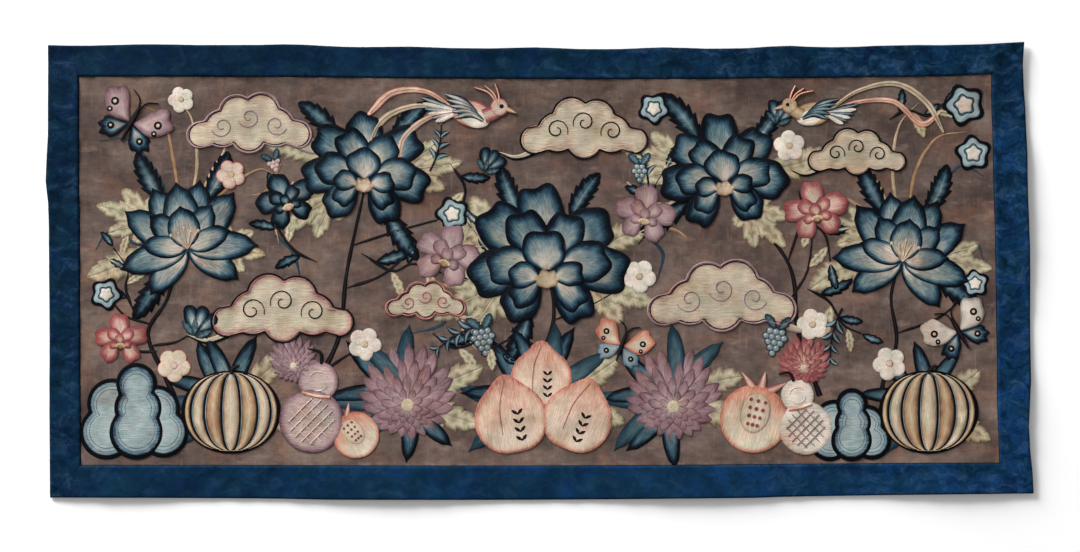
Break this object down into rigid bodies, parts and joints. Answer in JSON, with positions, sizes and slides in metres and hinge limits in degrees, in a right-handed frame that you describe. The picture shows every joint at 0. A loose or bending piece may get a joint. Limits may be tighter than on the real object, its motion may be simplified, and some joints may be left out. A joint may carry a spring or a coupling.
{
  "type": "embroidered silk panel",
  "caption": "Lined rectangular silk panel lying face up: an embroidered brown ground framed by mitred strips of dark blue damask.",
  "frame": {"origin": "under the middle of the panel, on the surface it lies on", "axes": "+X along the panel's length, +Y up its face towards the top border, +Z out of its face"},
  "size_m": [1.1074, 0.5134, 0.0065],
  "materials": {
    "brown_silk": "closely woven faded brown silk under floss silk embroidery",
    "blue_damask": "dark blue silk damask with a tone-on-tone figure and a soft sheen",
    "floss_indigo": "shaded indigo floss silk in long and short stitch",
    "floss_cream": "cream and sage floss silk in satin stitch",
    "floss_coral": "coral floss silk in satin stitch",
    "floss_mauve": "mauve floss silk in satin stitch",
    "floss_ochre": "ochre floss silk in satin stitch",
    "couched_cord": "blackish blue couched silk cord"
  },
  "bodies": {
    "root": {"embroidered_ground": "brown_silk", "border_top": "blue_damask", "border_right": "blue_damask", "border_bottom": "blue_damask", "border_left": "blue_damask"}
  },
  "joints": []
}
